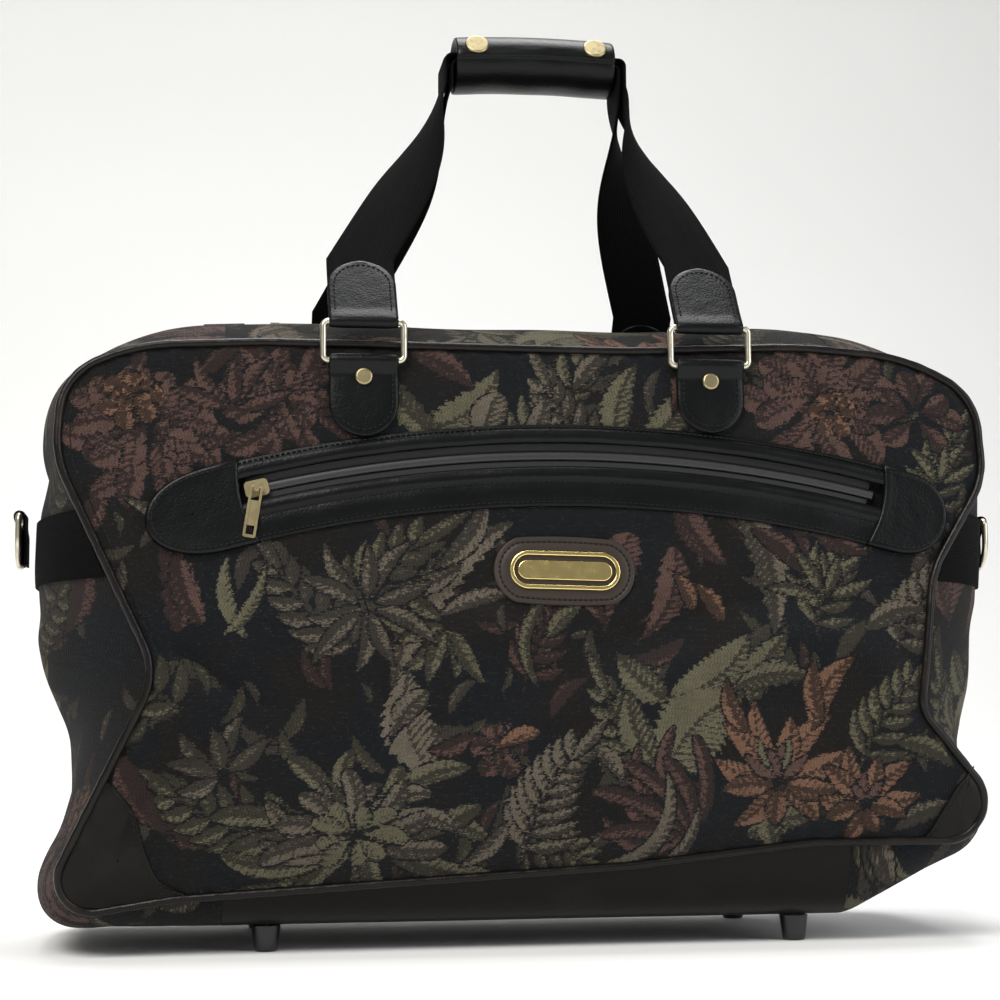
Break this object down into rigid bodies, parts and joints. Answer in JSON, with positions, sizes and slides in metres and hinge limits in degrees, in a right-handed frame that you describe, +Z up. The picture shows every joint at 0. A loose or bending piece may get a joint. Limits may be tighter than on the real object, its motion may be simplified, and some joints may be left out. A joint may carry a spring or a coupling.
{
  "type": "travel bag",
  "caption": "Soft tapestry travel bag with an arched front zip pocket, vinyl corners and piping, and webbing handles joined by a snap grip.",
  "frame": {"origin": "on the floor under the middle of the bag", "axes": "+X to the right as seen from the front, the front with the pocket faces -Y, +Z up"},
  "size_m": [0.583, 0.2344, 0.5395],
  "materials": {
    "tapestry": "matte woven",
    "black_vinyl": "soft sheen",
    "base_vinyl": "soft sheen",
    "badge_vinyl": "soft sheen",
    "piping": "worn sheen",
    "webbing": "matte ribbed",
    "zip_tape": "matte twill",
    "zip_coil": "satin",
    "lining_cloth": "plain weave",
    "board": "plain",
    "foot_plastic": "glossy",
    "washer_steel": "plain",
    "antique_brass": "antiqued",
    "gilt_metal": "polished"
  },
  "bodies": {
    "bag": {"back_panel": "tapestry", "base_board": "board", "base_panel": "base_vinyl", "corner_patch_back_left": "black_vinyl", "corner_patch_back_right": "black_vinyl", "corner_patch_front_left": "black_vinyl", "corner_patch_front_right": "black_vinyl", "d_ring_loop_left": "webbing", "d_ring_loop_right": "webbing", "feet": "foot_plastic", "foot_washers": "washer_steel", "front_panel": "tapestry", "lining": "lining_cloth", "lower_tab_front_left": "black_vinyl", "lower_tab_front_right": "black_vinyl", "lower_tab_rear_left": "black_vinyl", "lower_tab_rear_right": "black_vinyl", "main_zip_coil": "zip_coil", "main_zip_end_tab_left": "black_vinyl", "main_zip_end_tab_right": "black_vinyl", "main_zip_tape": "zip_tape", "nameplate_frame": "gilt_metal", "nameplate_patch": "badge_vinyl", "nameplate_plate": "gilt_metal", "piping_back": "piping", "piping_front": "piping", "pocket_band": "black_vinyl", "pocket_end_cap_left": "black_vinyl", "pocket_end_cap_right": "black_vinyl", "pocket_pouch": "lining_cloth", "pocket_zip_coil": "zip_coil", "pocket_zip_tape": "zip_tape", "side_band_left": "webbing", "side_band_right": "webbing", "side_gusset_left": "tapestry", "side_gusset_right": "tapestry", "tab_rivets": "antique_brass", "top_strip_front": "tapestry", "top_strip_rear": "tapestry"},
    "handles": {"front_strap": "webbing", "rear_strap": "webbing", "upper_tab_front_left": "black_vinyl", "upper_tab_front_right": "black_vinyl", "upper_tab_rear_left": "black_vinyl", "upper_tab_rear_right": "black_vinyl", "grip_wrap": "black_vinyl", "snap_caps": "antique_brass"},
    "front_rings": {"handle_ring_front_left": "antique_brass", "handle_ring_front_right": "antique_brass"},
    "rear_rings": {"handle_ring_rear_left": "antique_brass", "handle_ring_rear_right": "antique_brass"},
    "pocket_slider": {"pocket_zip_slider": "antique_brass"},
    "pocket_pull": {"pocket_zip_pull": "antique_brass"},
    "main_slider": {"main_zip_slider": "antique_brass"},
    "main_pull": {"main_zip_pull": "antique_brass"},
    "left_ring": {"d_ring_left": "antique_brass"},
    "right_ring": {"d_ring_right": "antique_brass"}
  },
  "joints": [
    {"name": "pocket_slider_run", "type": "hinge", "parent": "bag", "child": "pocket_slider", "pos_m": [0.015, -0.17348, -0.45758], "axis": [0, 0.9957, -0.0929], "range_deg": [0, 26.4]},
    {"name": "pocket_pull_flip", "type": "hinge", "parent": "pocket_slider", "child": "pocket_pull", "pos_m": [-0.155, -0.11181, 0.24968], "axis": [-0.9877, 0.0145, 0.1558], "range_deg": [0, 150]},
    {"name": "main_slider_run", "type": "slide", "parent": "bag", "child": "main_slider", "axis": [1, 0, 0], "range_m": [0, 0.284]},
    {"name": "main_pull_flip", "type": "hinge", "parent": "main_slider", "child": "main_pull", "pos_m": [-0.142, 0, 0.359], "axis": [0, -1, 0], "range_deg": [0, 150]},
    {"name": "left_ring_swing", "type": "hinge", "parent": "bag", "child": "left_ring", "pos_m": [-0.28798, 0, 0.243], "axis": [0, 1, 0], "range_deg": [0, 150]},
    {"name": "right_ring_swing", "type": "hinge", "parent": "bag", "child": "right_ring", "pos_m": [0.28798, 0, 0.243], "axis": [0, -1, 0], "range_deg": [0, 150]},
    {"name": "front_rings_swing", "type": "hinge", "parent": "bag", "child": "front_rings", "pos_m": [0, -0.1052, 0.3205], "axis": [1, 0, 0], "range_deg": [-6, 6]},
    {"name": "handles_swing", "type": "hinge", "parent": "front_rings", "child": "handles", "pos_m": [0, -0.1052, 0.342], "axis": [1, 0, 0], "range_deg": [-6, 6]},
    {"name": "rear_rings_swing", "type": "hinge", "parent": "bag", "child": "rear_rings", "pos_m": [0, 0.1052, 0.3205], "axis": [1, 0, 0], "range_deg": [-6, 6]}
  ],
  "couplings": [
    {"joint": "handles_swing", "follows": "front_rings_swing", "ratio": -1},
    {"joint": "rear_rings_swing", "follows": "front_rings_swing", "ratio": 1}
  ]
}
